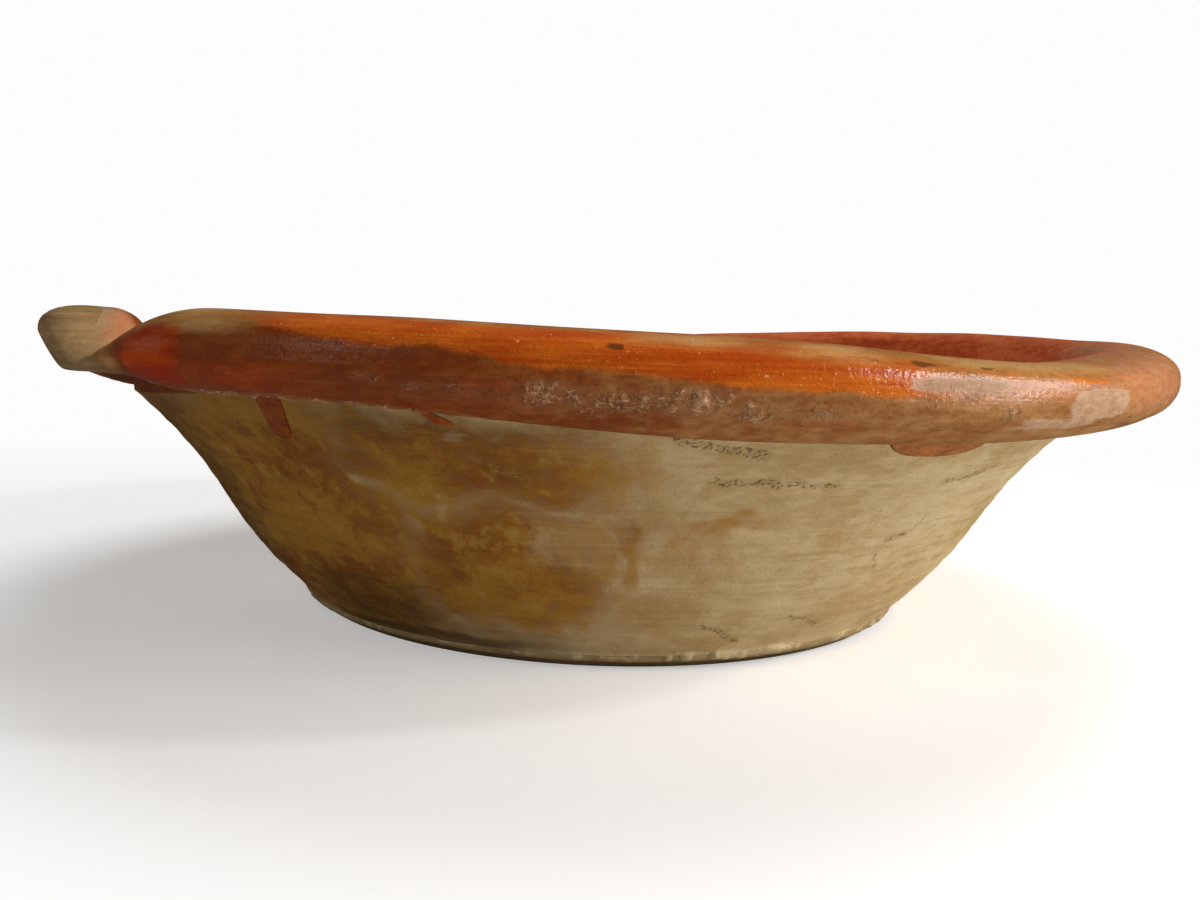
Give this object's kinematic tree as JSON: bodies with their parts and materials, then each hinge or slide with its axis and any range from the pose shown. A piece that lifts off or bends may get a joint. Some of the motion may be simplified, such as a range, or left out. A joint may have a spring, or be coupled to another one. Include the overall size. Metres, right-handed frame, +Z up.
{
  "type": "cheese draining bowl",
  "caption": "Wide earthenware bowl with a flared bare wall, heavy rolled rim and pinched pouring lip, glazed inside and over the rim, for draining whey off fresh cheese.",
  "frame": {"origin": "centre of the flat underside of the base, on the table", "axes": "+Z up along the bowl's axis; the pouring lip points along -X; +Y completes the right-handed frame"},
  "size_m": [0.4406, 0.4412, 0.1139],
  "materials": {
    "bare_clay": "unglazed buff earthenware, stained and worn",
    "orange_glaze": "glossy orange-brown transparent glaze"
  },
  "bodies": {
    "root": {"base_slab": "bare_clay", "flared_wall": "bare_clay", "rim_collar": "bare_clay", "pouring_lip": "bare_clay", "inside_glaze": "orange_glaze", "collar_glaze": "orange_glaze", "lip_glaze": "orange_glaze", "glaze_runs": "orange_glaze"}
  },
  "joints": []
}
